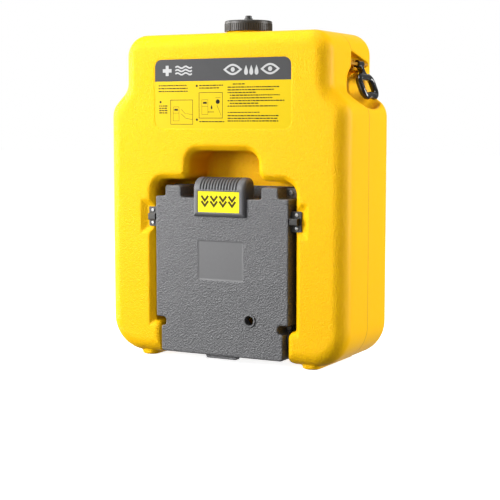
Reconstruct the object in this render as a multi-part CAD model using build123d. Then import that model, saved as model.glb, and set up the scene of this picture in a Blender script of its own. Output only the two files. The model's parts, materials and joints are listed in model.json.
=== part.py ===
from build123d import *
import os
from math import cos, pi, sin

# Portable gravity-fed eyewash station, in millimetres.
# +X is to the viewer's right, +Y points to the wall behind, +Z is up.
# The origin is on the ground, under the middle of the tank.

# --- tank -----------------------------------------------------------------------------------
HALF_WIDTH = 210.0
SHOULDER_HALF_WIDTH = 180.0
FRONT_Y = -85.0
BACK_Y = 85.0
TOP_Z = 512.0
UNDERSIDE_Z = 5.5
SHOULDER_TOP_Z = 427.0
SHOULDER_FOOT_Z = 397.0
WALL = 3.5
FRONT_EDGE_R = 24.0
REAR_EDGE_R = 18.0
TOP_CORNER_R = 34.0
BOTTOM_CORNER_R = 56.0
SHOULDER_INNER_R = 24.0
SHOULDER_OUTER_R = 34.0
FOOT_INNER_X = 130.0
FOOT_OUTER_X = 159.0

# --- recess that the tray folds into, and the hand alcove over it -----------------------------
RECESS_HALF_WIDTH = 124.5
RECESS_TOP_Z = 285.0
RECESS_BACK_Y = -17.0
ALCOVE_HALF_WIDTH = 60.5
ALCOVE_TOP_Z = 330.0
MOUTH_BEVEL = 9.0
RECESS_FLOOR_R = 8.0
LOBE_INNER_X = 112.0
LOBE_TOP_Z = 58.0
LOBE_R = 12.0

# --- filler neck and cap ----------------------------------------------------------------------
NECK_Y = 4.0
NECK_R = 31.0
NECK_BORE_R = 26.0
NECK_TOP_Z = 528.5
COLLAR_R = 35.5
COLLAR_TOP_Z = 516.5
CAP_R = 38.0
CAP_BOTTOM_Z = 517.3
CAP_TOP_Z = 533.7
CAP_ROOF = 3.0
CAP_RIBS = 60
KNOB_R = 6.7
KNOB_TOP_Z = 542.4

# --- tray -------------------------------------------------------------------------------------
TRAY_FACE_Y = -89.0
TRAY_REAR_Y = -35.0
TRAY_HALF_WIDTH = 117.3
TRAY_LOW_HALF_WIDTH = 108.0
TRAY_TOP_Z = 276.0
TRAY_BOTTOM_Z = 11.5
TRAY_WALL = 3.0
NOTCH_X = 99.5
LOW_NOTCH_Z = (53.0, 66.5)
TOP_NOTCH_Z = 259.0
GRIP_NOTCH_HALF_WIDTH = 71.0
GRIP_NOTCH_Z = 257.5
EAR_Y = -59.0
EAR_THICKNESS = 4.0
RIM_THICKNESS = 3.0
BOWL_FLOOR_Y = -79.0
BOWL_HALF_WIDTH = 112.5
BOWL_LOW_HALF_WIDTH = 95.0
BOWL_SHELF_Z = 75.0
BOWL_TOP_Z = 253.0
BOWL_WALL = 2.5
DRAIN_X = 51.0
DRAIN_Z = 71.0
DRAIN_BORE_R = 7.6

# --- hinge, which is also the water valve on the right ------------------------------------------
HINGE_Y = -61.0
HINGE_Z = 41.0
PIN_R = 5.0
RUNNING_GAP = 0.05
PLUG_R = 9.0
PLUG_BORE_R = 5.5
PLUG_PORT_X = 125.0
PORT_R = 4.0
VALVE_BODY_R = 13.5
VALVE_END_X = 138.0

# --- spray heads ------------------------------------------------------------------------------
HEAD_X = 45.0
HEAD_Z = 150.0
HEAD_R = 14.0
HEAD_TOP_Y = -53.0
PIPE_R = 6.0
PIPE_BORE_R = 4.5

# --- grip -------------------------------------------------------------------------------------
GRIP_HALF_WIDTH = 46.0
GRIP_FACE_Y = -95.0
GRIP_BOTTOM_Z = 229.0
GRIP_TOP_Z = 290.0
GRIP_REAR_Y = -60.0
GRIP_WALL = 4.0
GRIP_EDGE_R = 6.5
GRIP_RIBS = 14
GRIP_RIB_PITCH = 5.2
GRIP_GROOVE = 2.8
GRIP_GROOVE_DEPTH = 1.9

# --- latches ----------------------------------------------------------------------------------
LATCH_FLOOR_Y = -78.0
LATCH_PLATE_T = 2.0
LATCH_Z = 225.5
LATCH_SCREW_X = 127.5
LATCH_SCREW_Z = (215.5, 235.5)
PLUNGER_R = 3.0
PLUNGER_REAR_X = 124.0

# --- strap rings --------------------------------------------------------------------------------
RING_PIVOT_X = 177.0
RING_PIVOT_Y = 36.0
RING_PIVOT_Z = 464.0
RING_BAR_R = 5.4
HUB_R = 5.8
HUB_FRONT = 11.0
HUB_REAR = 7.5
RING_WIDTH = 49.0
RING_LEAN = {"right": 21.5, "left": 60.0}
SIDES = {"right": 1, "left": -1}


def outline(corners):
    """Closed face from (x, z, corner radius) triples."""
    points = [(x, z) for x, z, r in corners]
    radii = [r for x, z, r in corners]
    return make_face(FilletPolyline(*points, radius=radii, close=True))


def mirrored(half):
    """Both halves of an outline, from the corners of its right-hand half."""
    return half + [(-x, z, r) for x, z, r in reversed(half)]


def slab(face, y_back, y_front):
    """Extrude a face of the front view between two depths."""
    return extrude(Plane.XZ.offset(-y_back) * face, amount=y_back - y_front)


def block(x, y, z):
    """Box from three (low, high) pairs."""
    size = [high - low for low, high in (x, y, z)]
    middle = [(high + low) / 2 for low, high in (x, y, z)]
    return Pos(*middle) * Box(*size)


def rod_x(x0, x1, y, z, r):
    return extrude(Plane(origin=(x0, y, z), z_dir=(1, 0, 0)) * Circle(r), amount=x1 - x0)


def rod_y(x, y0, y1, z, r):
    return extrude(Plane(origin=(x, y0, z), z_dir=(0, 1, 0)) * Circle(r), amount=y1 - y0)


def rod_z(x, y, z0, z1, r):
    return extrude(Plane(origin=(x, y, z0)) * Circle(r), amount=z1 - z0)


def on_side(solid, side):
    """A right-hand solid, or its mirror image for the left."""
    return solid if side == "right" else mirror(solid, about=Plane.YZ)


def group(solids):
    return Compound(children=list(solids))


# --- tank ---------------------------------------------------------------------------------------


def tank_form(inset):
    """Tank body without its recess, shrunk by inset on every side."""
    face = outline(
        mirrored(
            [
                (SHOULDER_HALF_WIDTH, TOP_Z, TOP_CORNER_R),
                (SHOULDER_HALF_WIDTH, SHOULDER_TOP_Z, SHOULDER_INNER_R),
                (HALF_WIDTH, SHOULDER_FOOT_Z, SHOULDER_OUTER_R),
                (HALF_WIDTH, UNDERSIDE_Z, BOTTOM_CORNER_R),
            ]
        )
    )
    if inset:
        face = offset(face, amount=-inset)
    body = slab(face, BACK_Y - inset, FRONT_Y + inset)
    body = fillet(body.faces().sort_by(Axis.Y)[0].edges(), FRONT_EDGE_R - inset)
    return fillet(body.faces().sort_by(Axis.Y)[-1].edges(), REAR_EDGE_R - inset)


def recess_tool(grow):
    """What is cut away for the tray and the hand, with a bevelled mouth."""
    below = -60.0
    face = outline(
        mirrored(
            [
                (RECESS_HALF_WIDTH, below, 20.0),
                (RECESS_HALF_WIDTH, RECESS_TOP_Z, 20.0),
                (ALCOVE_HALF_WIDTH, RECESS_TOP_Z, 15.0),
                (ALCOVE_HALF_WIDTH, ALCOVE_TOP_Z, 19.0),
            ]
        )
    )
    if grow:
        face = offset(face, amount=grow)
    mouth_y = FRONT_Y + grow
    prism = slab(face, RECESS_BACK_Y + grow, mouth_y - 1)
    prism = fillet(prism.faces().sort_by(Axis.Y)[-1].edges(), RECESS_FLOOR_R + grow)
    tool = prism + block((-300, 300), (mouth_y - 20, mouth_y), (-100, 600))
    mouth = [
        e
        for e in tool.edges()
        if abs(e.center().Y - mouth_y) < 0.01 and abs(e.center().X) < 200 and -90 < e.center().Z < 500
    ]
    return chamfer(mouth, MOUTH_BEVEL - 0.586 * grow)


def lobes(inset):
    """Bulges at the recess's lower corners that carry the hinge."""
    r = LOBE_R - inset
    x0 = LOBE_INNER_X + inset
    y0 = FRONT_Y + inset
    z0 = UNDERSIDE_Z + inset
    z1 = LOBE_TOP_Z - inset
    lobe = block((x0, RECESS_HALF_WIDTH + 14), (y0, RECESS_BACK_Y + 8), (z0, z1))
    edges = []
    for e in lobe.edges():
        middle = e.center()
        at_end = min(abs(middle.Z - z0), abs(middle.Z - z1)) < 0.1
        if sum([abs(middle.X - x0) < 0.1, abs(middle.Y - y0) < 0.1, at_end]) == 2:
            edges.append(e)
    lobe = fillet(edges, r) & tank_form(inset)
    return lobe + mirror(lobe, about=Plane.YZ)


def latch_pocket(grow):
    """Bevelled pocket in the recess's edge beside the tray."""
    floor_y = LATCH_FLOOR_Y + grow
    mouth_y = FRONT_Y - 1
    bevel = 1.5 * (floor_y - mouth_y)
    inner_x, outer_x = 110.0, 138.0 + grow
    low_z, high_z = 208.5 - grow, 242.5 + grow
    levels = []
    for y, spread in ((floor_y, 0), (mouth_y, bevel)):
        corners = [
            (inner_x, low_z - spread, 0),
            (outer_x + spread, low_z - spread, 0),
            (outer_x + spread, high_z + spread, 0),
            (inner_x, high_z + spread, 0),
        ]
        levels.append(Plane.XZ.offset(-y) * outline(corners))
    tool = loft(levels)
    return tool + mirror(tool, about=Plane.YZ)


def ring_pocket(grow):
    """Three-sided pocket behind each strap ring: deep at the seam, running out to the rear."""
    seam_y, apex_y = -1.0 - grow, 72.0 + 2 * grow
    side_view = outline(
        [(seam_y, 441.0 - grow, 3), (apex_y, 465.0, 3), (seam_y, 483.0 + grow, 3)]
    )
    wedge = extrude(Plane(origin=(140, 0, 0), x_dir=(0, 1, 0), z_dir=(1, 0, 0)) * side_view, amount=100)
    floor = [(152 - grow, seam_y), (260, seam_y), (260, 100), (190 - grow, 100)]
    wedge = wedge & extrude(Plane(origin=(0, 0, 400)) * make_face(Polyline(*floor, close=True)), amount=150)
    return wedge + mirror(wedge, about=Plane.YZ)


def shoulder_scoop(grow):
    """Shallow dish under each strap ring."""
    dish = scale(Sphere(1), by=(25 + grow, 60 + grow, 40 + grow))
    dish = Pos(195, 24, 432) * dish
    return dish + mirror(dish, about=Plane.YZ)


def feet():
    """One U-shaped foot: a rail under each side, joined by a rail at the rear."""
    face = make_face(
        FilletPolyline(
            (FOOT_OUTER_X, -73),
            (FOOT_OUTER_X, 70),
            (-FOOT_OUTER_X, 70),
            (-FOOT_OUTER_X, -73),
            (-FOOT_INNER_X, -73),
            (-FOOT_INNER_X, 40),
            (FOOT_INNER_X, 40),
            (FOOT_INNER_X, -73),
            radius=[12, 12, 12, 12, 12, 8, 8, 12],
            close=True,
        )
    )
    foot = extrude(face, amount=14)
    return fillet(foot.faces().sort_by(Axis.Z)[0].edges(), 2.5)


def bosses():
    """Solid stock left inside the tank for its moulded-in inserts and screws."""
    stock = [
        rod_x(LOBE_INNER_X + 1, VALVE_END_X + 6, HINGE_Y, HINGE_Z, 17.0),
        rod_x(-LOBE_INNER_X - 20, -LOBE_INNER_X - 1, HINGE_Y, HINGE_Z, 12.0),
    ]
    for sign in SIDES.values():
        stock.append(rod_y(sign * 71, BACK_Y - 20, BACK_Y - 1, 430, 9.5))
        for z in LATCH_SCREW_Z:
            stock.append(rod_y(sign * LATCH_SCREW_X, LATCH_FLOOR_Y, LATCH_FLOOR_Y + 14, z, 5.5))
    return stock


def tank_shell():
    outer = tank_form(0) - recess_tool(0)
    outer = outer + lobes(0)
    outer = outer + feet()
    outer = outer - latch_pocket(0) - ring_pocket(0) - shoulder_scoop(0)
    outer = outer + rod_z(0, NECK_Y, TOP_Z - 10, COLLAR_TOP_Z, COLLAR_R)
    panel = outline(mirrored([(120.5, 364.0, 13.0), (120.5, 473.0, 13.0)]))
    outer = outer - slab(panel, FRONT_Y + 1, FRONT_Y - 1)
    cavity = tank_form(WALL) - recess_tool(WALL)
    cavity = cavity + lobes(WALL)
    cavity = cavity - latch_pocket(WALL) - ring_pocket(WALL) - shoulder_scoop(WALL)
    for boss in bosses():
        cavity = cavity - boss
    shell = outer - cavity
    shell = shell + rod_z(0, NECK_Y, TOP_Z - WALL, NECK_TOP_Z, NECK_R)
    shell = shell - rod_z(0, NECK_Y, TOP_Z - 20, NECK_TOP_Z + 1, NECK_BORE_R)
    shell = shell - rod_x(LOBE_INNER_X - 1, VALVE_END_X + 7, HINGE_Y, HINGE_Z, VALVE_BODY_R)
    shell = shell - rod_y(PLUG_PORT_X, HINGE_Y + 10, HINGE_Y + 30, HINGE_Z, PORT_R + 0.5)
    shell = shell - rod_x(-LOBE_INNER_X - 15, -LOBE_INNER_X + 1, HINGE_Y, HINGE_Z, 7.0)
    for sign in SIDES.values():
        shell = shell - rod_y(sign * 71, BACK_Y - 14, BACK_Y + 1, 430, 5.0)
        shell = shell - rod_y(sign * RING_PIVOT_X, -3.5, 66, RING_PIVOT_Z, 2.5)
        for z in LATCH_SCREW_Z:
            shell = shell - rod_y(sign * LATCH_SCREW_X, LATCH_FLOOR_Y - 1, LATCH_FLOOR_Y + 9, z, 1.5)
    return shell


def header_label():
    face = outline([(-119.5, 438, 0), (119.5, 438, 0), (119.5, 472, 12), (-119.5, 472, 12)])
    return slab(face, FRONT_Y + 1, FRONT_Y + 0.6)


def instruction_label():
    face = outline([(-119.5, 365, 12), (119.5, 365, 12), (119.5, 438, 0), (-119.5, 438, 0)])
    return slab(face, FRONT_Y + 1, FRONT_Y + 0.6)


def rear_inserts():
    inserts = []
    for sign in SIDES.values():
        body = rod_y(sign * 71, BACK_Y - 14, BACK_Y, 430, 5.0)
        inserts.append(body - rod_y(sign * 71, BACK_Y - 12, BACK_Y + 1, 430, 2.5))
    return group(inserts)


# --- latches ------------------------------------------------------------------------------------


def latch_plate():
    plate_y = LATCH_FLOOR_Y - LATCH_PLATE_T
    face = outline([(118, 210, 2), (135, 210, 2), (135, 241, 2), (118, 241, 2)])
    plate = slab(face, LATCH_FLOOR_Y, plate_y)
    housing = block((119, 131.5), (TRAY_FACE_Y, plate_y + 0.5), (LATCH_Z - 5.2, LATCH_Z + 5.2))
    housing = fillet(housing.edges().filter_by(Axis.X), 1.5)
    plate = plate + housing
    plate = plate - rod_x(118, 129.5, -84.2, LATCH_Z, PLUNGER_R + RUNNING_GAP)
    for z in LATCH_SCREW_Z:
        plate = plate - rod_y(LATCH_SCREW_X, plate_y - 1, LATCH_FLOOR_Y + 1, z, 1.6)
    return plate


def latch_screws():
    screws = []
    head_y = LATCH_FLOOR_Y - LATCH_PLATE_T
    for sign in SIDES.values():
        for z in LATCH_SCREW_Z:
            head = rod_y(sign * LATCH_SCREW_X, head_y - 1.6, head_y, z, 2.7)
            head = fillet(head.faces().sort_by(Axis.Y)[0].edges(), 0.8)
            head = head - rod_y(sign * LATCH_SCREW_X, head_y - 2, head_y - 0.8, z, 1.2)
            screws.append(head + rod_y(sign * LATCH_SCREW_X, head_y, LATCH_FLOOR_Y + 8.5, z, 1.5))
    return group(screws)


def latch_plunger():
    nose_x = TRAY_HALF_WIDTH + 0.25
    body = rod_x(nose_x, PLUNGER_REAR_X, -84.2, LATCH_Z, PLUNGER_R)
    return fillet(body.faces().sort_by(Axis.X)[0].edges(), 2.2)


def latch_spring():
    """Zigzag leaf behind the plunger, short of the housing's end by the plunger's travel."""
    leg, swing, gauge = 0.85, 2.0, 0.6
    under = [(PLUNGER_REAR_X + i * leg, LATCH_Z + swing * (-1 if i % 2 == 0 else 1)) for i in range(4)]
    over = [(x, z + gauge) for x, z in reversed(under)]
    return slab(make_face(Polyline(*under, *over, close=True)), -83.0, -85.4)


# --- hinge and valve ----------------------------------------------------------------------------


def hinge_insert():
    body = rod_x(-LOBE_INNER_X - 15, -LOBE_INNER_X, HINGE_Y, HINGE_Z, 7.0)
    return body - rod_x(-LOBE_INNER_X - 13, -LOBE_INNER_X + 1, HINGE_Y, HINGE_Z, 4.0)


def hinge_pin():
    """Shoulder screw: the tray turns on its plain length."""
    head = rod_x(-101.2, -97.2, HINGE_Y, HINGE_Z, 8.0)
    head = fillet(head.faces().sort_by(Axis.X)[-1].edges(), 1.0)
    socket = extrude(Plane(origin=(-97.2, HINGE_Y, HINGE_Z), z_dir=(-1, 0, 0)) * RegularPolygon(3.5, 6), amount=2.5)
    shank = rod_x(-LOBE_INNER_X, -101.2, HINGE_Y, HINGE_Z, PIN_R)
    thread = rod_x(-LOBE_INNER_X - 12, -LOBE_INNER_X, HINGE_Y, HINGE_Z, 4.0)
    return head + shank + thread - socket


def hinge_bush():
    flange = rod_x(-105.0, -101.6, HINGE_Y, HINGE_Z, 8.8)
    sleeve = rod_x(-109.5, -105.0, HINGE_Y, HINGE_Z, 7.5)
    return flange + sleeve - rod_x(-110, -101, HINGE_Y, HINGE_Z, PIN_R + RUNNING_GAP)


def valve_body():
    """Fixed cup of the rotary valve, with one port to the tank."""
    cup = rod_x(LOBE_INNER_X, VALVE_END_X, HINGE_Y, HINGE_Z, VALVE_BODY_R)
    flange = rod_x(LOBE_INNER_X - 2.6, LOBE_INNER_X - 0.8, HINGE_Y, HINGE_Z, 16.0)
    neck = rod_x(LOBE_INNER_X - 0.8, LOBE_INNER_X, HINGE_Y, HINGE_Z, VALVE_BODY_R)
    bore = rod_x(LOBE_INNER_X - 3, VALVE_END_X - 3.5, HINGE_Y, HINGE_Z, PLUG_R + RUNNING_GAP)
    port = rod_y(PLUG_PORT_X, HINGE_Y, HINGE_Y + 20, HINGE_Z, PORT_R)
    return cup + flange + neck - bore - port


def valve_gasket():
    ring = rod_x(LOBE_INNER_X - 0.8, LOBE_INNER_X, HINGE_Y, HINGE_Z, 16.0)
    return ring - rod_x(LOBE_INNER_X - 1, LOBE_INNER_X + 1, HINGE_Y, HINGE_Z, VALVE_BODY_R)


def inlet_strainer():
    """Slotted sleeve in the boss, over the valve's port."""
    y0, y1 = HINGE_Y + VALVE_BODY_R + 0.3, HINGE_Y + VALVE_BODY_R + 12
    tube = rod_y(PLUG_PORT_X, y0, y1, HINGE_Z, PORT_R + 0.5)
    tube = tube - rod_y(PLUG_PORT_X, y0 - 1, y1 - 1.2, HINGE_Z, PORT_R - 0.4)
    for i in range(3):
        y = y1 - 7.5 + 2.2 * i
        tube = tube - block((PLUG_PORT_X - 8, PLUG_PORT_X + 8), (y, y + 1.1), (HINGE_Z - 2, HINGE_Z + 2))
    return tube


def valve_plug():
    """Hollow trunnion of the tray: its port meets the tank's port when the tray is down."""
    shaft = rod_x(88.0, VALVE_END_X - 4.0, HINGE_Y, HINGE_Z, PLUG_R)
    flange = rod_x(89.4, 92.4, HINGE_Y, HINGE_Z, 13.0)
    bore = rod_x(87.0, VALVE_END_X - 7.0, HINGE_Y, HINGE_Z, PLUG_BORE_R)
    port = rod_z(PLUG_PORT_X, HINGE_Y, HINGE_Z - 20, HINGE_Z, PORT_R)
    plug = shaft + flange - bore - port
    for y, z in plug_screw_spots():
        plug = plug - rod_x(89, 93, y, z, 1.0)
    for x in (PLUG_PORT_X - 8, PLUG_PORT_X + 5.6):
        plug = plug - seal_ring(x)
    return plug


def seal_ring(x):
    ring = rod_x(x, x + 2.4, HINGE_Y, HINGE_Z, PLUG_R + 0.01)
    return ring - rod_x(x - 1, x + 4, HINGE_Y, HINGE_Z, PLUG_R - 1.8)


def valve_seals():
    return group([seal_ring(x) & rod_x(100, 140, HINGE_Y, HINGE_Z, PLUG_R) for x in (PLUG_PORT_X - 8, PLUG_PORT_X + 5.6)])


def plug_screw_spots():
    """Screws through the plug's flange, as (y, z)."""
    return [(HINGE_Y - 11.0, HINGE_Z), (HINGE_Y + 11.0, HINGE_Z)]


def plug_screws():
    screws = []
    for y, z in plug_screw_spots():
        screws.append(rod_x(88.0, 89.4, y, z, 1.8) + rod_x(89.4, 94.5, y, z, 1.0))
    return group(screws)


# --- tray ---------------------------------------------------------------------------------------


def tray_face():
    """Front outline of the tray's cover, with its corner cut-outs and the gap for the grip."""
    low, high = LOW_NOTCH_Z
    return outline(
        mirrored(
            [
                (TRAY_LOW_HALF_WIDTH, TRAY_BOTTOM_Z, 5),
                (TRAY_LOW_HALF_WIDTH, low, 3),
                (NOTCH_X, low, 5),
                (NOTCH_X, high, 5),
                (TRAY_HALF_WIDTH, high, 3),
                (TRAY_HALF_WIDTH, TOP_NOTCH_Z, 3),
                (NOTCH_X, TOP_NOTCH_Z, 4),
                (NOTCH_X, TRAY_TOP_Z, 4),
                (GRIP_NOTCH_HALF_WIDTH, TRAY_TOP_Z, 4),
                (GRIP_NOTCH_HALF_WIDTH, GRIP_NOTCH_Z, 4),
            ]
        )
    )


def ear_spots():
    """Where the cover is screwed to the bowl: (x, z) of the four corner cut-outs."""
    low = sum(LOW_NOTCH_Z) / 2
    high = (TOP_NOTCH_Z + TRAY_TOP_Z) / 2
    return [(sign * x, z) for sign in (1, -1) for x, z in ((105.0, low), (107.5, high))]


def tray_shell():
    face = tray_face()
    cover = slab(face, TRAY_REAR_Y, TRAY_FACE_Y)
    cover = fillet(cover.faces().sort_by(Axis.Y)[0].edges(), 2.2)
    lip = outline([(-27, 6.7, 2), (27, 6.7, 2), (27, 14, 0), (-27, 14, 0)])
    cover = cover + slab(lip, TRAY_FACE_Y + 14, TRAY_FACE_Y + 2)
    inside = slab(offset(face, amount=-TRAY_WALL), TRAY_REAR_Y + 1, TRAY_FACE_Y + TRAY_WALL)
    cover = cover - inside
    for x, z in ear_spots():
        reach = TRAY_HALF_WIDTH - 0.8 if z > 100 else TRAY_LOW_HALF_WIDTH
        top = TRAY_TOP_Z - 0.8 if z > 100 else LOW_NOTCH_Z[1] + 0.5
        bottom = TOP_NOTCH_Z - 0.5 if z > 100 else LOW_NOTCH_Z[0] - 0.5
        span = (NOTCH_X - 1, reach) if x > 0 else (-reach, -NOTCH_X + 1)
        cover = cover + block(span, (EAR_Y, EAR_Y + EAR_THICKNESS), (bottom, top))
    for x, z in ear_spots():
        cover = cover - rod_y(x, EAR_Y - 1, EAR_Y + EAR_THICKNESS + 1, z, 2.1)
    square = outline([(-40, 130, 2), (40, 130, 2), (40, 191.5, 2), (-40, 191.5, 2)])
    cover = cover - slab(square, TRAY_FACE_Y + 0.6, TRAY_FACE_Y - 1)
    cover = cover - rod_y(DRAIN_X, TRAY_FACE_Y - 1, TRAY_FACE_Y + 5, DRAIN_Z, 9.4)
    cover = cover - rod_x(-120, -100, HINGE_Y, HINGE_Z, 7.5)
    cover = cover - rod_x(100, 120, HINGE_Y, HINGE_Z, PLUG_R + 0.4)
    for x, z in grip_screw_spots():
        cover = cover - rod_y(x, TRAY_FACE_Y - 1, TRAY_FACE_Y + 5, z, 2.1)
    for sign in SIDES.values():
        dimple = Pos(sign * (TRAY_HALF_WIDTH + 4.6), -84.2, LATCH_Z) * Sphere(6.0)
        cover = cover - dimple
    return cover


def bowl_form(inset):
    """Inside or outside of the bowl, shrunk by inset."""
    low = outline(
        mirrored(
            [
                (BOWL_LOW_HALF_WIDTH - inset, 15.5 + inset, 12 - inset),
                (BOWL_LOW_HALF_WIDTH - inset, BOWL_SHELF_Z + 30, 2),
            ]
        )
    )
    high = outline(
        mirrored(
            [
                (BOWL_HALF_WIDTH - inset, BOWL_SHELF_Z + inset, 12 - inset),
                (BOWL_HALF_WIDTH - inset, BOWL_TOP_Z - inset, 12 - inset),
            ]
        )
    )
    face = low + high
    body = slab(face, TRAY_REAR_Y + 1 + 4 * (inset > 0), BOWL_FLOOR_Y + inset)
    return fillet(body.faces().sort_by(Axis.Y)[0].edges(), 6 - inset)


def tray_basin():
    """Bowl with a rim that closes the cover's rear edge, and a boss for each corner screw."""
    rim = outline(
        mirrored(
            [
                (TRAY_LOW_HALF_WIDTH, TRAY_BOTTOM_Z, 5),
                (TRAY_LOW_HALF_WIDTH, LOW_NOTCH_Z[1] + 1, 2),
                (TRAY_HALF_WIDTH, LOW_NOTCH_Z[1] + 1, 3),
                (TRAY_HALF_WIDTH, TRAY_TOP_Z, 5),
            ]
        )
    )
    basin = slab(rim, TRAY_REAR_Y + RIM_THICKNESS, TRAY_REAR_Y)
    basin = basin + bowl_form(0)
    for x, z in ear_spots():
        basin = basin + rod_y(x, EAR_Y + EAR_THICKNESS, TRAY_REAR_Y + 1, z, 5.0)
    basin = basin - bowl_form(BOWL_WALL)
    for x, z in ear_spots():
        basin = basin - rod_y(x, EAR_Y + EAR_THICKNESS - 1, TRAY_REAR_Y - 4, z, 1.6)
    basin = basin - rod_y(DRAIN_X, BOWL_FLOOR_Y - 1, BOWL_FLOOR_Y + 4, DRAIN_Z, 9.4)
    basin = basin - rod_x(90, 96, HINGE_Y, HINGE_Z, PLUG_R)
    for y, z in plug_screw_spots():
        basin = basin - rod_x(92, 94.5, y, z, 1.0)
    return basin


def tray_screws():
    screws = []
    for x, z in ear_spots():
        head = rod_y(x, EAR_Y - 2.4, EAR_Y, z, 3.8)
        head = fillet(head.faces().sort_by(Axis.Y)[0].edges(), 1.2)
        head = head - rod_y(x, EAR_Y - 3, EAR_Y - 1.2, z, 1.6)
        screws.append(head + rod_y(x, EAR_Y, TRAY_REAR_Y - 5, z, 1.6))
    return group(screws)


def drain_bush():
    flange = rod_y(DRAIN_X, TRAY_FACE_Y - 1.8, TRAY_FACE_Y, DRAIN_Z, 10.6)
    flange = fillet(flange.faces().sort_by(Axis.Y)[0].edges(), 0.8)
    tube = rod_y(DRAIN_X, TRAY_FACE_Y, BOWL_FLOOR_Y + BOWL_WALL, DRAIN_Z, 9.4)
    return flange + tube - rod_y(DRAIN_X, TRAY_FACE_Y - 3, BOWL_FLOOR_Y + 5, DRAIN_Z, DRAIN_BORE_R)


# --- grip ---------------------------------------------------------------------------------------


def grip_profile(inset):
    """Side view of the grip as (y, z): flat face, rounded top and a rear wall."""
    front = GRIP_FACE_Y + inset
    rear = GRIP_REAR_Y - inset
    top = GRIP_TOP_Z - inset
    bottom = GRIP_NOTCH_Z - 1.0 if inset > 0 else GRIP_BOTTOM_Z
    corners = [
        (front, bottom, 0),
        (front, top, 20 - inset),
        (rear, top, 13 - inset),
        (rear, bottom, 0),
    ]
    return outline(corners)


def grip_slab(profile, half_width):
    """Extrude a (y, z) profile to both sides of the middle."""
    plane = Plane(origin=(-half_width, 0, 0), x_dir=(0, 1, 0), z_dir=(1, 0, 0))
    return extrude(plane * profile, amount=2 * half_width)


def grip_screw_spots():
    return [(-30.0, 240.0), (30.0, 240.0)]


def handle_grip():
    body = grip_slab(grip_profile(0), GRIP_HALF_WIDTH)
    seat = block((-60, 60), (TRAY_FACE_Y, -40), (200, GRIP_NOTCH_Z))
    edges = [
        e
        for e in body.edges()
        if abs(abs(e.center().X) - GRIP_HALF_WIDTH) < 0.1 and e.center().Z > GRIP_BOTTOM_Z + 1
        or abs(e.center().Y - GRIP_FACE_Y) < 0.1 and abs(e.center().Z - GRIP_BOTTOM_Z) < 0.1
    ]
    body = fillet(edges, GRIP_EDGE_R) - seat
    hollow = grip_slab(grip_profile(GRIP_WALL), GRIP_HALF_WIDTH - GRIP_WALL)
    body = body - hollow
    skin = grip_slab(grip_profile(-1.0), GRIP_GROOVE / 2)
    core = grip_slab(offset(grip_profile(0), amount=-GRIP_GROOVE_DEPTH), 2.0)
    groove = (skin - core) & block((-2, 2), (-100, -50), (GRIP_TOP_Z - 19, GRIP_TOP_Z + 5))
    for i in range(GRIP_RIBS - 1):
        body = body - Pos((i - (GRIP_RIBS - 2) / 2) * GRIP_RIB_PITCH, 0, 0) * groove
    face = outline([(-37, 235.4, 1.5), (37, 235.4, 1.5), (37, 269, 1.5), (-37, 269, 1.5)])
    body = body - slab(face, GRIP_FACE_Y + 0.8, GRIP_FACE_Y - 1)
    for x, z in grip_screw_spots():
        body = body - rod_y(x, GRIP_FACE_Y + 2.5, TRAY_FACE_Y + 1, z, 1.6)
    return body


def pull_label():
    face = outline([(-36.3, 236.2, 1), (36.3, 236.2, 1), (36.3, 268.4, 1), (-36.3, 268.4, 1)])
    return slab(face, GRIP_FACE_Y + 0.8, GRIP_FACE_Y + 0.4)


def handle_screws():
    screws = []
    inner_y = TRAY_FACE_Y + TRAY_WALL
    for x, z in grip_screw_spots():
        head = rod_y(x, inner_y, inner_y + 2.4, z, 3.6)
        screws.append(head + rod_y(x, GRIP_FACE_Y + 3, inner_y, z, 1.6))
    return group(screws)


# --- water path ---------------------------------------------------------------------------------


def supply_pipe():
    path = FilletPolyline((88, HINGE_Y, HINGE_Z), (0, HINGE_Y, HINGE_Z), (0, HINGE_Y, HEAD_Z - 12), radius=24)
    start = Plane(origin=path @ 0, z_dir=path % 0)
    pipe = sweep(start * Circle(PIPE_R), path=path)
    return pipe - sweep(start * Circle(PIPE_BORE_R), path=path)


def spray_bar():
    """Tee that shares the water between the two heads."""
    end = HEAD_X - HEAD_R
    bar = rod_x(-end, end, HINGE_Y, HEAD_Z, 7.5) + rod_z(0, HINGE_Y, HEAD_Z - 12, HEAD_Z, 8.0)
    bar = bar - rod_x(-end - 1, end + 1, HINGE_Y, HEAD_Z, 5.0)
    return bar - rod_z(0, HINGE_Y, HEAD_Z - 13, HEAD_Z, PIPE_BORE_R)


def pipe_clips():
    clips = []
    for x, z, along_x in ((50.0, HINGE_Z, True), (0.0, 100.0, False)):
        foot_y = BOWL_FLOOR_Y + BOWL_WALL
        rod = rod_x(x - 4, x + 4, HINGE_Y, z, 9.0) if along_x else rod_z(x, HINGE_Y, z - 4, z + 4, 9.0)
        bore = rod_x(x - 9, x + 9, HINGE_Y, z, PIPE_R) if along_x else rod_z(x, HINGE_Y, z - 9, z + 9, PIPE_R)
        half = 4.0 if along_x else 9.0
        tall = 9.0 if along_x else 4.0
        foot = block((x - half, x + half), (foot_y, HINGE_Y), (z - tall, z + tall))
        gap = block((x - 5, x + 5), (HINGE_Y, HINGE_Y + 12), (z - 4.5, z + 4.5))
        clips.append(rod + foot - bore - gap)
    return group(clips)


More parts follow.
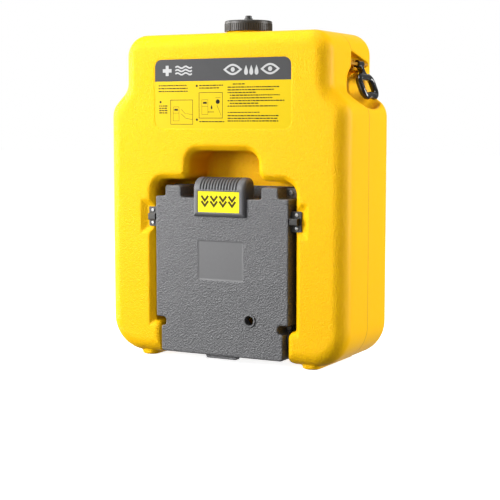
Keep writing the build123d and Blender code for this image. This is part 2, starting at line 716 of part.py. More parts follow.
def spray_head(sign):
    """Cup on a pedestal with a perforated face."""
    x = sign * HEAD_X
    floor_y = BOWL_FLOOR_Y + BOWL_WALL
    cup = rod_y(x, floor_y, HEAD_TOP_Y, HEAD_Z, HEAD_R)
    cup = fillet(cup.faces().sort_by(Axis.Y)[0].edges(), 3.0)
    cup = cup - rod_y(x, floor_y + 4, HEAD_TOP_Y - 2.5, HEAD_Z, HEAD_R - 2.5)
    cup = cup - rod_x(x - sign * 20, x - sign * 8, HINGE_Y, HEAD_Z, 5.0)
    for count, radius in ((1, 0.0), (6, 4.0), (12, 8.0)):
        for i in range(count):
            angle = 2 * pi * i / count
            hole = rod_y(x + radius * cos(angle), HEAD_TOP_Y - 4, HEAD_TOP_Y + 1, HEAD_Z + radius * sin(angle), 0.9)
            cup = cup - hole
    hinge_x = x + sign * (HEAD_R + 2.5)
    lug = block(sorted((x + sign * (HEAD_R - 1), hinge_x)), (HEAD_TOP_Y - 4.5, HEAD_TOP_Y - 1.0), (HEAD_Z - 3, HEAD_Z + 3))
    lug = lug + rod_z(hinge_x, HEAD_TOP_Y - 1.2, HEAD_Z - 3, HEAD_Z + 3, 2.2)
    return cup + lug - rod_z(hinge_x, HEAD_TOP_Y - 1.2, HEAD_Z - 9, HEAD_Z + 9, 1.0)


def dust_cover(sign):
    """Flip-up cap with a hinge knuckle each side of the head's lug."""
    x = sign * HEAD_X
    low_y = HEAD_TOP_Y + 0.4
    disc = rod_y(x, low_y, low_y + 2.4, HEAD_Z, HEAD_R + 0.8)
    disc = fillet(disc.faces().sort_by(Axis.Y)[-1].edges(), 1.2)
    hinge_x = x + sign * (HEAD_R + 2.5)
    axis_y = HEAD_TOP_Y - 1.2
    for low, high in ((HEAD_Z - 7, HEAD_Z - 3.4), (HEAD_Z + 3.4, HEAD_Z + 7)):
        knuckle = rod_z(hinge_x, axis_y, low, high, 2.2)
        web = block(sorted((x + sign * (HEAD_R - 3.5), hinge_x + sign * 1.2)), (low_y + 0.3, low_y + 1.6), (low, high))
        disc = disc + knuckle + web
    return disc - rod_z(hinge_x, axis_y, HEAD_Z - 9, HEAD_Z + 9, 1.0 + RUNNING_GAP)


def dust_cover_pins():
    spots = [sign * (HEAD_X + HEAD_R + 2.5) for sign in SIDES.values()]
    return group([rod_z(x, HEAD_TOP_Y - 1.2, HEAD_Z - 7.4, HEAD_Z + 7.4, 1.0) for x in spots])


# --- cap ----------------------------------------------------------------------------------------


def filler_cap():
    step = 2 * pi / CAP_RIBS
    points = []
    for i in range(CAP_RIBS):
        for share, r in ((0.0, CAP_R), (0.45, CAP_R), (0.6, CAP_R - 1.1), (0.85, CAP_R - 1.1)):
            angle = step * (i + share)
            points.append((r * cos(angle), NECK_Y + r * sin(angle)))
    ribbed = extrude(Plane(origin=(0, 0, CAP_BOTTOM_Z)) * make_face(Polyline(*points, close=True)), amount=11.5)
    crown = rod_z(0, NECK_Y, CAP_BOTTOM_Z + 11.5, CAP_TOP_Z, CAP_R - 0.4)
    crown = fillet(crown.faces().sort_by(Axis.Z)[-1].edges(), 2.4)
    cap = ribbed + crown
    cap = cap - rod_z(0, NECK_Y, CAP_BOTTOM_Z - 1, CAP_TOP_Z - CAP_ROOF, NECK_R + 0.4)
    cap = cap - rod_z(0, NECK_Y, CAP_TOP_Z - 5, CAP_TOP_Z + 1, 2.6)
    ring = rod_z(0, NECK_Y, CAP_TOP_Z - 0.8, CAP_TOP_Z + 1, 30) - rod_z(0, NECK_Y, CAP_TOP_Z - 1, CAP_TOP_Z + 2, 12)
    return cap - ring


def cap_gasket():
    ring = rod_z(0, NECK_Y, NECK_TOP_Z + 0.02, CAP_TOP_Z - CAP_ROOF - 0.02, NECK_R - 0.2)
    return ring - rod_z(0, NECK_Y, NECK_TOP_Z - 1, CAP_TOP_Z, NECK_BORE_R + 0.4)


def vent_knob():
    base = rod_z(0, NECK_Y, CAP_TOP_Z + 0.6, CAP_TOP_Z + 4.6, KNOB_R)
    base = fillet(base.faces().sort_by(Axis.Z)[-1].edges(), 1.0)
    button = rod_z(0, NECK_Y, CAP_TOP_Z + 4, KNOB_TOP_Z, 5.2)
    button = fillet(button.faces().sort_by(Axis.Z)[-1].edges(), 1.4)
    stem = rod_z(0, NECK_Y, CAP_TOP_Z - 9.5, CAP_TOP_Z + 1, 2.5)
    return base + button + stem


def vent_seal():
    ring = rod_z(0, NECK_Y, CAP_TOP_Z + 0.05, CAP_TOP_Z + 0.6, 5.5)
    return ring - rod_z(0, NECK_Y, CAP_TOP_Z, CAP_TOP_Z + 1, 2.5)


def vent_clip():
    disc = rod_z(0, NECK_Y, CAP_TOP_Z - 8.4, CAP_TOP_Z - 7.0, 5.5)
    return disc - rod_z(0, NECK_Y, CAP_TOP_Z - 9, CAP_TOP_Z - 6, 2.5)


# --- strap rings ----------------------------------------------------------------------------------


def strap_ring(side):
    """Ring on a flared stem, drawn hanging straight down and then swung out by its lean."""
    half = RING_WIDTH / 2
    top, bottom = -21.5, -55.5
    path = FilletPolyline(
        (0, half, top),
        (0, half, bottom),
        (0, 0, bottom + 4.5),
        (0, -half, bottom),
        (0, -half, top),
        radius=[11, 11, 30, 11, 11],
        close=True,
    )
    start = Plane(origin=path @ 0.5, z_dir=path % 0.5)
    ring = sweep(start * Circle(RING_BAR_R), path=path)
    half_stem = [(7.5, 1, 0), (7.5, -3, 5), (4.3, -8.5, 6), (4.3, -13.5, 8), (10, -22, 0)]
    stem_face = outline(half_stem + [(-x, z, r) for x, z, r in reversed(half_stem)])
    stem = extrude(Plane(origin=(-4.5, 0, 0), x_dir=(0, 1, 0), z_dir=(1, 0, 0)) * stem_face, amount=9.0)
    rounded = [e for e in stem.edges() if abs(abs(e.center().X) - 4.5) < 0.01 and -21.9 < e.center().Z < 0.9]
    stem = fillet(rounded, 1.8)
    ring = ring + stem + rod_y(0, -HUB_FRONT, HUB_REAR, 0, HUB_R)
    ring = ring - rod_y(0, -HUB_FRONT - 1, HUB_REAR + 1, 0, 2.5 + RUNNING_GAP)
    swing = -RING_LEAN[side] if side == "right" else RING_LEAN[side]
    ring = Rot(0, swing, 0) * ring
    return Pos(SIDES[side] * RING_PIVOT_X, RING_PIVOT_Y, RING_PIVOT_Z) * ring


def ring_pin(sign):
    return rod_y(sign * RING_PIVOT_X, -3.5, 66, RING_PIVOT_Z, 2.5)


NODES = {
    "tank_shell": tank_shell,
    "header_label": header_label,
    "instruction_label": instruction_label,
    "rear_inserts": rear_inserts,
    "latch_screws": latch_screws,
    "hinge_insert": hinge_insert,
    "hinge_pin": hinge_pin,
    "hinge_bush": hinge_bush,
    "valve_body": valve_body,
    "valve_gasket": valve_gasket,
    "inlet_strainer": inlet_strainer,
    "valve_plug": valve_plug,
    "valve_seals": valve_seals,
    "plug_screws": plug_screws,
    "tray_shell": tray_shell,
    "tray_basin": tray_basin,
    "tray_screws": tray_screws,
    "drain_bush": drain_bush,
    "handle_grip": handle_grip,
    "handle_screws": handle_screws,
    "pull_label": pull_label,
    "supply_pipe": supply_pipe,
    "spray_bar": spray_bar,
    "pipe_clips": pipe_clips,
    "dust_cover_pins": dust_cover_pins,
    "filler_cap": filler_cap,
    "cap_gasket": cap_gasket,
    "vent_knob": vent_knob,
    "vent_seal": vent_seal,
    "vent_clip": vent_clip,
}
for side_name, side_sign in SIDES.items():
    NODES["latch_plate_" + side_name] = lambda s=side_name: on_side(latch_plate(), s)
    NODES["latch_plunger_" + side_name] = lambda s=side_name: on_side(latch_plunger(), s)
    NODES["latch_spring_" + side_name] = lambda s=side_name: on_side(latch_spring(), s)
    NODES["spray_head_" + side_name] = lambda n=side_sign: spray_head(n)
    NODES["dust_cover_" + side_name] = lambda n=side_sign: dust_cover(n)
    NODES["strap_ring_" + side_name] = lambda s=side_name: strap_ring(s)
    NODES["ring_pin_" + side_name] = lambda n=side_sign: ring_pin(n)

os.makedirs("parts", exist_ok=True)
for node, make in NODES.items():
    export_step(make(), f"parts/{node}.step")
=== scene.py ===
"""Looks of the portable eyewash station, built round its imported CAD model."""
import json
import random
from math import cos, pi, radians, sin

import bmesh
import bpy
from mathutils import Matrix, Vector


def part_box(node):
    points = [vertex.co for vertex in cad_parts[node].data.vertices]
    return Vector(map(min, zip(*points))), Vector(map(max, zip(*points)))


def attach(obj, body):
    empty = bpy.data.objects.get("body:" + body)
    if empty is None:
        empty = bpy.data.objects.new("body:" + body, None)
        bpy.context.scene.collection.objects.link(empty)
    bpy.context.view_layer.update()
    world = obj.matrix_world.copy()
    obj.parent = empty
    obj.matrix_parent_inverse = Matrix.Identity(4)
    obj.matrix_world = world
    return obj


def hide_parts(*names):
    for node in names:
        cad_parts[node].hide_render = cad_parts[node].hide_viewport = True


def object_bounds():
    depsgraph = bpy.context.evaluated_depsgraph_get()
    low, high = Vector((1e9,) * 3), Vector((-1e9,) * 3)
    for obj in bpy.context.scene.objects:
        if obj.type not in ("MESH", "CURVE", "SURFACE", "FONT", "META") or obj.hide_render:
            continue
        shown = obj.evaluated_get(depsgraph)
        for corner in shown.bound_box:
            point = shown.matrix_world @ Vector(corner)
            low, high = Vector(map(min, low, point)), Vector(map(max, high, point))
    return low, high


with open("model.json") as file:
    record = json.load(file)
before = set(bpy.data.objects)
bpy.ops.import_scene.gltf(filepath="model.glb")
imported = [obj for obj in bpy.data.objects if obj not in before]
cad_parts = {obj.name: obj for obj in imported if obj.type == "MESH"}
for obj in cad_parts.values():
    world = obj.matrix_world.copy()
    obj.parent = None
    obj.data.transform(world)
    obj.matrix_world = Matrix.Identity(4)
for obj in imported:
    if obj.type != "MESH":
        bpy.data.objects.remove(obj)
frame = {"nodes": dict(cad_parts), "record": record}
cad_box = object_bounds()
nodes = frame["nodes"]
MM = 0.001


# --- node helpers -------------------------------------------------------------------------------


class Shader:
    """A material's node tree, with short calls for the nodes that are used here."""

    def __init__(self, name):
        self.mat = bpy.data.materials.new(name)
        self.mat.use_nodes = True
        self.tree = self.mat.node_tree
        self.bsdf = self.tree.nodes["Principled BSDF"]
        self.coords = self.tree.nodes.new("ShaderNodeTexCoord")

    def link(self, source, target):
        self.tree.links.new(source, target)

    def math(self, operation, a, b=None, c=None, clamp=False):
        node = self.tree.nodes.new("ShaderNodeMath")
        node.operation = operation
        node.use_clamp = clamp
        for socket, value in zip(node.inputs, (a, b, c)):
            if value is None:
                continue
            if isinstance(value, (int, float)):
                socket.default_value = value
            else:
                self.link(value, socket)
        return node.outputs[0]

    def separate(self, vector):
        node = self.tree.nodes.new("ShaderNodeSeparateXYZ")
        self.link(vector, node.inputs[0])
        return node.outputs

    def noise(self, scale, detail=2.0, roughness=0.5):
        node = self.tree.nodes.new("ShaderNodeTexNoise")
        node.inputs["Scale"].default_value = scale
        node.inputs["Detail"].default_value = detail
        node.inputs["Roughness"].default_value = roughness
        self.link(self.coords.outputs["Object"], node.inputs["Vector"])
        return node.outputs[0]

    def cells(self, scale, smooth):
        node = self.tree.nodes.new("ShaderNodeTexVoronoi")
        node.feature = "SMOOTH_F1"
        node.inputs["Scale"].default_value = scale
        node.inputs["Smoothness"].default_value = smooth
        self.link(self.coords.outputs["Object"], node.inputs["Vector"])
        return node.outputs["Distance"]

    def mix(self, factor, a, b):
        """Blend of two colours, each a tuple or another node's output."""
        node = self.tree.nodes.new("ShaderNodeMix")
        node.data_type = "RGBA"
        sockets = (node.inputs["Factor"], node.inputs["A"], node.inputs["B"])
        for socket, value in zip(sockets, (factor, a, b)):
            if isinstance(value, tuple):
                socket.default_value = (*value, 1)
            else:
                self.link(value, socket)
        return node.outputs["Result"]

    def bump(self, height, distance, strength=1.0, below=None):
        node = self.tree.nodes.new("ShaderNodeBump")
        node.inputs["Distance"].default_value = distance
        if isinstance(strength, (int, float)):
            node.inputs["Strength"].default_value = strength
        else:
            self.link(strength, node.inputs["Strength"])
        self.link(height, node.inputs["Height"])
        if below is not None:
            self.link(below, node.inputs["Normal"])
        return node.outputs[0]

    def colour(self, value):
        self.link(value, self.bsdf.inputs["Base Color"])

    def roughness(self, value, low, high):
        """Roughness that wanders between low and high with a 0 to 1 value."""
        node = self.tree.nodes.new("ShaderNodeMapRange")
        node.inputs["To Min"].default_value = low
        node.inputs["To Max"].default_value = high
        self.link(value, node.inputs["Value"])
        self.link(node.outputs[0], self.bsdf.inputs["Roughness"])

    def normal(self, value):
        self.link(value, self.bsdf.inputs["Normal"])


def plain_plastic(name, dark, light, rough, grain_scale, grain_depth, coat=0.0):
    """Moulded plastic: two tones of one colour, a fine grain and slightly uneven gloss."""
    s = Shader(name)
    tone = s.noise(38.0, 3.0)
    s.colour(s.mix(tone, dark, light))
    s.roughness(s.noise(120.0), rough[0], rough[1])
    s.normal(s.bump(s.noise(grain_scale, 3.0), grain_depth))
    s.bsdf.inputs["Specular IOR Level"].default_value = 0.5
    s.bsdf.inputs["Coat Weight"].default_value = coat
    s.bsdf.inputs["Coat Roughness"].default_value = 0.08
    return s.mat


def tank_material():
    """Yellow moulded polyethylene: pebbled on the front, smoother on the sides, with a parting line."""
    seam_y, seam_reach = -0.4 * MM, 1.0 * MM
    seam_shade = (0.30, 0.10, 0.001)
    s = Shader("tank_yellow")
    y = s.separate(s.coords.outputs["Object"])[1]
    turned_back = s.separate(s.coords.outputs["Normal"])[1]
    facing = s.math("MULTIPLY_ADD", turned_back, -1.6, -0.45, clamp=True)
    tone = s.noise(14.0, 3.0)
    fleck = s.math("MULTIPLY_ADD", s.noise(430.0, 2.0, 0.6), 4.0, -1.5, clamp=True)
    mottle = s.math("MULTIPLY_ADD", tone, 0.4, s.math("MULTIPLY", s.math("MULTIPLY", fleck, facing), 0.6))
    body = s.mix(mottle, (0.97, 0.495, 0.0008), (0.99, 0.575, 0.0008))
    seam_distance = s.math("ABSOLUTE", s.math("SUBTRACT", y, seam_y))
    seam = s.math("SUBTRACT", 1.2, s.math("DIVIDE", seam_distance, seam_reach), clamp=True)
    s.colour(s.mix(s.math("MULTIPLY", seam, 0.7), body, seam_shade))
    pebble = s.math("MULTIPLY_ADD", s.cells(520.0, 0.5), 0.8, s.noise(720.0, 2.0, 0.5))
    strength = s.math("MULTIPLY_ADD", facing, 0.85, 0.15)
    grain = s.bump(pebble, 0.0009, strength)
    s.normal(s.bump(seam, 0.0006, 0.8, below=grain))
    s.roughness(s.noise(90.0), 0.38, 0.48)
    s.bsdf.inputs["Specular IOR Level"].default_value = 0.12
    return s.mat


def tray_material():
    """Grey moulded plastic with a coarse leather grain, smooth inside the square on the front."""
    half_width, half_height = 40.2 * MM, 31.0 * MM
    middle_z = 160.75 * MM
    just_behind_face = -87.5 * MM
    s = Shader("tray_grey")
    x, y, z = s.separate(s.coords.outputs["Object"])
    across = s.math("LESS_THAN", s.math("ABSOLUTE", x), half_width)
    along = s.math("LESS_THAN", s.math("ABSOLUTE", s.math("SUBTRACT", z, middle_z)), half_height)
    outer = s.math("LESS_THAN", y, just_behind_face)
    square = s.math("MULTIPLY", s.math("MULTIPLY", across, along), outer)
    textured = s.math("SUBTRACT", 1.0, square)
    tone = s.noise(30.0, 3.0)
    pits = s.math("MULTIPLY", s.cells(400.0, 0.4), 0.6)
    speck = s.math("ADD", s.noise(420.0, 3.0, 0.6), pits)
    fleck = s.math("MULTIPLY_ADD", s.noise(560.0, 2.0, 0.6), 5.0, -2.0, clamp=True)
    mottle = s.math("MULTIPLY_ADD", tone, 0.3, s.math("MULTIPLY", fleck, 0.7))
    body = s.mix(mottle, (0.082, 0.082, 0.086), (0.152, 0.152, 0.156))
    s.colour(s.mix(s.math("MULTIPLY", square, 0.9), body, (0.125, 0.125, 0.128)))
    strength = s.math("MULTIPLY_ADD", textured, 0.97, 0.03)
    s.normal(s.bump(speck, 0.0013, strength))
    s.roughness(s.noise(200.0), 0.40, 0.52)
    s.bsdf.inputs["Specular IOR Level"].default_value = 0.5
    return s.mat


def film_material(name, colour):
    """Printed film: even ink with a faint orange-peel and a low, even gloss."""
    s = Shader(name)
    deeper = tuple(c * 0.93 for c in colour)
    s.colour(s.mix(s.noise(60.0), colour, deeper))
    s.normal(s.bump(s.noise(900.0), 0.00004))
    s.roughness(s.noise(160.0), 0.35, 0.43)
    s.bsdf.inputs["Specular IOR Level"].default_value = 0.08
    return s.mat


def metal_material(name, colour, rough):
    """Machined metal with fine turning marks."""
    s = Shader(name)
    s.colour(s.mix(s.noise(300.0, 4.0), colour, tuple(c * 0.82 for c in colour)))
    s.normal(s.bump(s.noise(2400.0, 2.0), 0.00003))
    s.roughness(s.noise(500.0), rough, rough + 0.15)
    s.bsdf.inputs["Metallic"].default_value = 1.0
    return s.mat


MATERIALS = {
    "tank": tank_material(),
    "tray": tray_material(),
    "grip": plain_plastic(
        "grip_grey", (0.095, 0.095, 0.098), (0.115, 0.115, 0.12), (0.40, 0.52), 620.0, 0.00022
    ),
    "black": plain_plastic(
        "cap_black", (0.022, 0.021, 0.019), (0.034, 0.032, 0.029), (0.34, 0.46), 800.0, 0.00012
    ),
    "gloss_black": plain_plastic(
        "ring_black", (0.006, 0.006, 0.006), (0.012, 0.012, 0.012), (0.14, 0.2), 160.0, 0.0001, coat=0.5
    ),
    "dark_nylon": plain_plastic(
        "nylon_dark", (0.05, 0.05, 0.053), (0.075, 0.075, 0.08), (0.4, 0.5), 700.0, 0.0001
    ),
    "white_nylon": plain_plastic(
        "nylon_white", (0.70, 0.70, 0.67), (0.80, 0.80, 0.78), (0.35, 0.45), 500.0, 0.0001
    ),
    "cover_yellow": plain_plastic(
        "cover_yellow", (0.88, 0.55, 0.01), (0.95, 0.62, 0.02), (0.25, 0.32), 300.0, 0.0001
    ),
    # Ring pins: the tank yellow at about half brightness, a shaded copy that paints the shade of the pocket
    # they sit in
    "pin_shaded_yellow": plain_plastic(
        "pin_shaded_yellow", (0.45, 0.20, 0.002), (0.5, 0.23, 0.002), (0.4, 0.5), 400.0, 0.0001
    ),
    "seal": plain_plastic(
        "rubber_seal", (0.015, 0.015, 0.015), (0.03, 0.03, 0.03), (0.6, 0.75), 900.0, 0.0001
    ),
    "label_dark": film_material("film_dark", (0.070, 0.070, 0.072)),
    "label_yellow": film_material("film_yellow", (0.74, 0.525, 0.001)),
    "pull_yellow": film_material("film_pull", (0.92, 0.80, 0.02)),
    "print_white": film_material("print_white", (0.52, 0.52, 0.52)),
    "print_black": film_material("print_black", (0.010, 0.008, 0.002)),
    "print_olive": film_material("print_olive", (0.07, 0.055, 0.01)),
    "steel": metal_material("steel_turned", (0.42, 0.42, 0.42), 0.30),
    "brass": metal_material("brass_turned", (0.80, 0.58, 0.25), 0.28),
}

SLOT_OF = {s["node"]: s["material_slot"] for s in frame["record"]["subparts"]}
LOOK_OF = {
    "handle_grip": "grip",
    "pull_label": "pull_yellow",
    # The ring pins take the shaded copy of the tank yellow, which is painted shade
    "ring_pin_left": "pin_shaded_yellow",
    "ring_pin_right": "pin_shaded_yellow",
}
for name, obj in nodes.items():
    obj.data.materials.clear()
    obj.data.materials.append(MATERIALS[LOOK_OF.get(name, SLOT_OF[name])])


# --- mesh helpers -------------------------------------------------------------------------------


def add_piece(name, mesh, look, body, replaces=()):
    """Put a mesh in the scene as a piece of the object."""
    obj = bpy.data.objects.new(name, mesh)
    bpy.context.scene.collection.objects.link(obj)
    obj.data.materials.clear()
    obj.data.materials.append(MATERIALS[look])
    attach(obj, body)
    if replaces:
        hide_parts(*replaces)


def evaluated(obj):
    """New mesh with the object's modifiers applied."""
    bpy.context.view_layer.update()
    graph = bpy.context.evaluated_depsgraph_get()
    return bpy.data.meshes.new_from_object(obj.evaluated_get(graph))


LOCAL_ROUNDS = 80


def softened(node, voxel, rounds, keep, local_weight=None):
    """Copy of a CAD node's mesh whose sharp edges are melted, as moulded edges are.

    keep is the share of its faces that stay. local_weight gives each vertex position a weight
    for much stronger smoothing.
    """
    work = bpy.data.objects.new("work", nodes[node].data.copy())
    bpy.context.scene.collection.objects.link(work)
    remesh = work.modifiers.new("remesh", "REMESH")
    remesh.mode = "VOXEL"
    remesh.voxel_size = voxel
    work.data = evaluated(work)
    work.modifiers.clear()
    if local_weight:
        group = work.vertex_groups.new(name="local")
        for vertex in work.data.vertices:
            weight = local_weight(vertex.co)
            if weight > 0:
                group.add([vertex.index], weight, "REPLACE")
        local = work.modifiers.new("local", "SMOOTH")
        local.iterations = LOCAL_ROUNDS
        local.vertex_group = "local"
    smooth = work.modifiers.new("smooth", "SMOOTH")
    smooth.iterations = rounds
    decimate = work.modifiers.new("decimate", "DECIMATE")
    decimate.ratio = keep
    mesh = evaluated(work)
    bpy.data.objects.remove(work)
    for polygon in mesh.polygons:
        polygon.use_smooth = True
    return mesh


def ease(value, reach):
    """0 up to 0, 1 from reach on, and straight between them."""
    return max(0.0, min(1.0, value / reach))


# The dishes under the rings and the recess's upper lip, in metres, where the tank is smoothed most.
DISH_MIDDLE = (0.195, 0.022, 0.424)
DISH_REACH = (0.055, 0.085, 0.055)
DISH_TOP_Z = 0.450
LIP_Z = (0.246, 0.362)
LIP_HALF_WIDTH = 0.152
LIP_Y = -0.066
LIP_SHARE = 0.35


def melted(point):
    """How far the tank's surface is smoothed: the dishes under the rings, and the recess's upper lip."""
    place = (abs(point.x), point.y, point.z)
    spread = Vector([(p - middle) / reach for p, middle, reach in zip(place, DISH_MIDDLE, DISH_REACH)])
    dish = min(ease(1.0 - spread.length, 0.5), ease(DISH_TOP_Z - point.z, 0.012))
    lip = min(
        ease(point.z - LIP_Z[0], 0.016),
        ease(LIP_Z[1] - point.z, 0.012),
        ease(LIP_HALF_WIDTH - abs(point.x), 0.012),
        ease(LIP_Y - point.y, 0.006),
    )
    return max(dish, LIP_SHARE * lip)


class Print:
    """Flat shapes raised a hair from a label, drawn in the front view in millimetres."""

    THICKNESS = 0.06
    SINK = 0.02

    def __init__(self, label):
        self.bm = bmesh.new()
        self.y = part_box(label)[0].y / MM

    def polygon(self, points):
        """A filled outline, given as (x, z) points."""
        front_y, back_y = (self.y - self.THICKNESS) * MM, (self.y + self.SINK) * MM
        front = [self.bm.verts.new((x * MM, front_y, z * MM)) for x, z in points]
        back = [self.bm.verts.new((x * MM, back_y, z * MM)) for x, z in points]
        self.bm.faces.new(front)
        self.bm.faces.new(list(reversed(back)))
        for i in range(len(points)):
            j = (i + 1) % len(points)
            self.bm.faces.new((front[j], front[i], back[i], back[j]))

    def bar(self, x0, x1, z0, z1):
        self.polygon([(x0, z0), (x1, z0), (x1, z1), (x0, z1)])

    def disc(self, x, z, r):
        steps = 28
        angles = [2 * pi * i / steps for i in range(steps)]
        self.polygon([(x + r * cos(angle), z + r * sin(angle)) for angle in angles])

    def stroke(self, points, width, closed=False):
        """A line of even width through (x, z) points, mitred at its bends."""
        path = [Vector(p) for p in points]
        count = len(path)
        rails = ([], [])
        for i, here in enumerate(path):
            before = path[i - 1] if i > 0 or closed else None
            after = path[(i + 1) % count] if i < count - 1 or closed else None
            arrive = (here - before).normalized() if before is not None else (after - here).normalized()
            leave = (after - here).normalized() if after is not None else arrive
            side = Vector((-arrive.y - leave.y, arrive.x + leave.x)).normalized()
            reach = width / 2 / max(0.35, side.dot(Vector((-arrive.y, arrive.x))))
            for rail, sign in zip(rails, (1, -1)):
                rail.append(here + side * reach * sign)
        for i in range(count if closed else count - 1):
            j = (i + 1) % count
            self.polygon([rails[0][i], rails[1][i], rails[1][j], rails[0][j]])

    def frame(self, x0, x1, z0, z1, width=0.8):
        self.stroke([(x0, z0), (x1, z0), (x1, z1), (x0, z1)], width, closed=True)

    def words(self, x0, x1, z, height, rng):
        """A run of short dashes, the look of a line of small print without any lettering."""
        gap, shortest, longest, least_left = 1.1, 2.0, 6.5, 1.2
        x = x0
        while x < x1 - least_left:
            length = min(rng.uniform(shortest, longest), x1 - x)
            self.bar(x, x + length, z - height / 2, z + height / 2)
            x += length + gap

    def piece(self, name, look, body):
        bmesh.ops.recalc_face_normals(self.bm, faces=self.bm.faces)
        mesh = bpy.data.meshes.new(name)
        self.bm.to_mesh(mesh)
        self.bm.free()
        add_piece(name, mesh, look, body)


# --- moulded bodies -----------------------------------------------------------------------------

tank_soft = softened("tank_shell", 0.0016, 3, 0.35, melted)
add_piece("tank_body_soft", tank_soft, "tank", "tank", ["tank_shell"])
tray_soft = softened("tray_shell", 0.0009, 3, 0.5)
add_piece("tray_cover_soft", tray_soft, "tray", "tray", ["tray_shell"])
grip_soft = softened("handle_grip", 0.0005, 2, 0.6)
add_piece("grip_soft", grip_soft, "grip", "tray", ["handle_grip"])


# --- labels -------------------------------------------------------------------------------------


def drop(sheet, x, z, size):
    """A water drop, point up."""
    steps = 33
    points = []
    for i in range(steps):
        t = 2 * pi * i / steps
        swell = sin(t / 2) ** 1.5
        points.append((x + size * 0.62 * sin(t) * swell, z + size * cos(t)))
    sheet.polygon(points)


def eye(sheet, x, z, half_width, half_height, width):
    """An open eye: two lids and a pupil."""
    steps = 12
    shares = [i / steps for i in range(steps)]
    upper = [(x + half_width * (2 * t - 1), z + half_height * sin(pi * t)) for t in shares]
    lower = [(2 * x - px, 2 * z - pz) for px, pz in upper]
    sheet.stroke(upper + lower, width, closed=True)
    sheet.disc(x, z, half_height * 0.5)


def cross(sheet, x, z, reach, half):
    """A plain first-aid cross."""
    quarter = [(half, reach), (half, half), (reach, half)]
    points = []
    for i in range(4):
        for px, pz in quarter:
            for _ in range(i):
                px, pz = pz, -px
            points.append((x + px, z + pz))
    sheet.polygon(points)


def header_print():
    """Plain pictures instead of a name: first aid, running water, and an eye being rinsed."""
    sheet = Print("header_label")
    low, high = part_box("header_label")
    middle = (low.z + high.z) / 2 / MM - 0.5
    cross(sheet, -97, middle, 8.0, 2.7)
    for rise in (-5.0, 0.0, 5.0):
        wave = [(-82 + 2.5 * i, middle + rise + 1.5 * sin(i * pi / 3)) for i in range(13)]
        sheet.stroke(wave, 2.4)
    for x in (20, 84):
        eye(sheet, x, middle, 14, 7, 3.0)
    for x in (43, 52, 61):
        drop(sheet, x, middle - 1, 7.5)
    sheet.piece("header_print", "print_white", "tank")


def station_picture(sheet, x0, x1, z0, z1, tray_down):
    """Framed picture: a hand reaching for the closed tray, or water rising to a head over the open one."""
    sheet.frame(x0, x1, z0, z1)
    wide, tall = x1 - x0, z1 - z0
    left, right = x0 + 0.12 * wide, x0 + 0.38 * wide
    low, high = z0 + 0.14 * tall, z0 + 0.72 * tall
    sheet.frame(left, right, low, high, 0.45)
    sheet.bar(left + 0.05 * wide, right - 0.05 * wide, high - 0.16 * tall, high - 0.08 * tall)
    sheet.stroke([(left, low + 0.32 * tall), (right, low + 0.32 * tall)], 0.4)
    if tray_down:
        sheet.stroke([(right, low + 0.1 * tall), (right + 0.26 * wide, low + 0.1 * tall)], 0.8)
        drop(sheet, right + 0.16 * wide, low + 0.3 * tall, 0.09 * tall)
        sheet.stroke([(x1 - 0.30 * wide, z1 - 0.2 * tall), (x1 - 0.08 * wide, z1 - 0.2 * tall)], 0.45)
        sheet.disc(x1 - 0.2 * wide, z1 - 0.36 * tall, 0.09 * tall)
        sheet.stroke([(x1 - 0.06 * wide, z0 + 0.1 * tall), (x1 - 0.24 * wide, z1 - 0.48 * tall)], 0.5)
    else:
        fingertip = (right + 0.08 * wide, low + 0.3 * tall)
        sheet.stroke([(x1, low + 0.05 * tall), (x1 - 0.3 * wide, low + 0.1 * tall), fingertip], 0.55)
        sheet.stroke([(x1, low + 0.25 * tall), (x1 - 0.28 * wide, low + 0.3 * tall)], 0.5)
        sheet.stroke([(right + 0.1 * wide, high - 0.1 * tall), (right + 0.3 * wide, high - 0.3 * tall)], 0.5)


def instruction_print():
    """Dashes for the small print, dots for the step numbers, and two framed pictures."""
    sheet = Print("instruction_label")
    rng = random.Random(7)
    small = 1.7
    for z in (431.5, 427.0, 422.5):
        sheet.words(-113, -60, z, small, rng)
    sheet.disc(-109.5, 406, 1.9)
    for z in (400, 396.4, 392.8, 389.2):
        sheet.words(-112, -97, z, small, rng)
    station_picture(sheet, -91, -51, 371.5, 409, False)
    sheet.disc(-43.5, 430.5, 1.9)
    sheet.words(-39, 3, 431, small, rng)
    sheet.words(-39, -4, 427, small, rng)
    station_picture(sheet, -39.5, 2.0, 381, 420, True)
    sheet.disc(-43.5, 378.5, 1.9)
    sheet.words(-39, 5, 375.5, small, rng)
    sheet.words(20, 42, 432.5, 1.6, rng)
    ends = (100, 90, 60, 100, 88, 108, 64, 96)
    for i, end in enumerate(ends):
        indent = 4 if i in (3, 4, 6) else 0
        sheet.words(11 + indent, end, 427.8 - 4.1 * i, small, rng)
    sheet.words(11, 66, 389.5, 1.4, rng)
    for z in (384.5, 380.5, 376.5):
        sheet.words(11, 98, z, small, rng)
    sheet.piece("instruction_print", "print_black", "tank")


def pull_print():
    """Bold chevrons that say which way the tray comes down."""
    sheet = Print("pull_label")
    pitch, half_width, width = 16.0, 6.0, 3.4
    for i in range(4):
        x = pitch * (i - 1.5)
        for z in (257.5, 249.5):
            sheet.stroke([(x - half_width, z + 4.0), (x, z - 3.5), (x + half_width, z + 4.0)], width)
    sheet.piece("pull_print", "print_olive", "tray")


header_print()
instruction_print()
pull_print()


# --- studio ---------------------------------------------------------------------------------------


AIM = (0.0, 0.0, 0.27)
BACKDROP_DIRECTION = (-0.468, 0.878, -0.099)
BACKDROP_INNER, BACKDROP_OUTER = radians(24), radians(42)
SURROUNDINGS, BACKDROP = 0.19, 1.0
FLOOR_REACH = 12.0
FLOOR_GAP = 0.0005


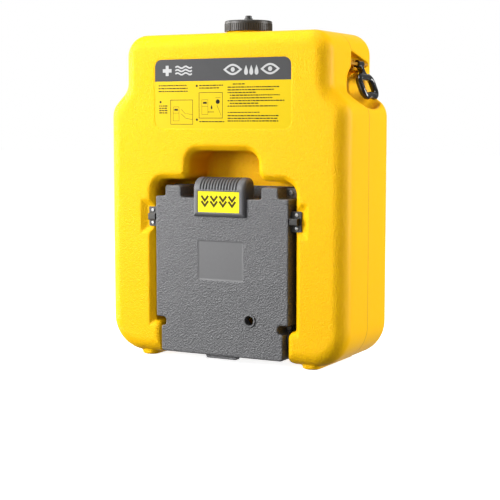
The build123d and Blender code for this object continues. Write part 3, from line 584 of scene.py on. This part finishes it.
def softbox(name, spot, size, energy):
    """Rectangular soft light that faces the middle of the object."""
    light = bpy.data.lights.new(name, "AREA")
    light.shape = "RECTANGLE"
    light.size = size[0]
    light.size_y = size[1]
    light.energy = energy
    obj = bpy.data.objects.new(name, light)
    bpy.context.scene.collection.objects.link(obj)
    obj.location = spot
    obj.rotation_euler = (Vector(AIM) - Vector(spot)).to_track_quat("-Z", "Y").to_euler()


def studio():
    """White backdrop behind the object, dim surroundings, and soft lights round it."""
    scene = bpy.context.scene
    scene.view_settings.view_transform = "Standard"
    world = bpy.data.worlds.new("studio")
    scene.world = world
    world.use_nodes = True
    tree = world.node_tree
    background = tree.nodes["Background"]
    background.inputs["Color"].default_value = (1, 1, 1, 1)
    coords = tree.nodes.new("ShaderNodeTexCoord")
    toward = tree.nodes.new("ShaderNodeVectorMath")
    toward.operation = "DOT_PRODUCT"
    toward.inputs[1].default_value = BACKDROP_DIRECTION
    tree.links.new(coords.outputs["Generated"], toward.inputs[0])
    screen = tree.nodes.new("ShaderNodeMapRange")
    screen.interpolation_type = "SMOOTHSTEP"
    screen.inputs["From Min"].default_value = cos(BACKDROP_OUTER)
    screen.inputs["From Max"].default_value = cos(BACKDROP_INNER)
    screen.inputs["To Min"].default_value = SURROUNDINGS
    screen.inputs["To Max"].default_value = BACKDROP
    tree.links.new(toward.outputs["Value"], screen.inputs["Value"])
    tree.links.new(screen.outputs[0], background.inputs["Strength"])
    softbox("key_left", (-1.24, -1.28, 0.80), (0.8, 1.4), 54)
    softbox("front_fill", (-0.3, -2.2, 0.8), (0.9, 0.9), 8)
    softbox("side_right", (1.72, 0.62, 0.45), (0.7, 1.6), 43)
    softbox("rim_left", (-1.90, 0.02, 0.5), (0.6, 1.7), 34)
    softbox("top", (-0.2, -0.2, 2.1), (1.2, 1.0), 24)


def floor():
    """Pale floor that catches a faint shadow and throws no light back on the object."""
    paint = Shader("floor_paper")
    paint.colour(paint.mix(paint.noise(3.0), (0.70, 0.70, 0.70), (0.74, 0.74, 0.74)))
    paint.bsdf.inputs["Roughness"].default_value = 0.9
    paint.bsdf.inputs["Specular IOR Level"].default_value = 0.0
    paint.bsdf.inputs["Emission Color"].default_value = (1, 1, 1, 1)
    paint.bsdf.inputs["Emission Strength"].default_value = 0.88
    bm = bmesh.new()
    level = cad_box[0][2] - FLOOR_GAP
    corners = [(-1, -1), (1, -1), (1, 1), (-1, 1)]
    bm.faces.new([bm.verts.new((x * FLOOR_REACH, y * FLOOR_REACH, level)) for x, y in corners])
    mesh = bpy.data.meshes.new("floor")
    bm.to_mesh(mesh)
    bm.free()
    obj = bpy.data.objects.new("floor", mesh)
    bpy.context.scene.collection.objects.link(obj)
    obj.data.materials.append(paint.mat)
    obj.visible_diffuse = False
    obj.visible_glossy = False


def camera():
    """Long lens from the front right, a little above the middle."""
    data = bpy.data.cameras.new("camera")
    data.lens = 92.12
    data.sensor_width = 36.0
    obj = bpy.data.objects.new("camera", data)
    bpy.context.scene.collection.objects.link(obj)
    obj.location = (0.9676, -1.8054, 0.3738)
    obj.rotation_euler = (radians(84.32), 0.0, radians(28.07))
    bpy.context.scene.camera = obj


studio()
floor()
camera()
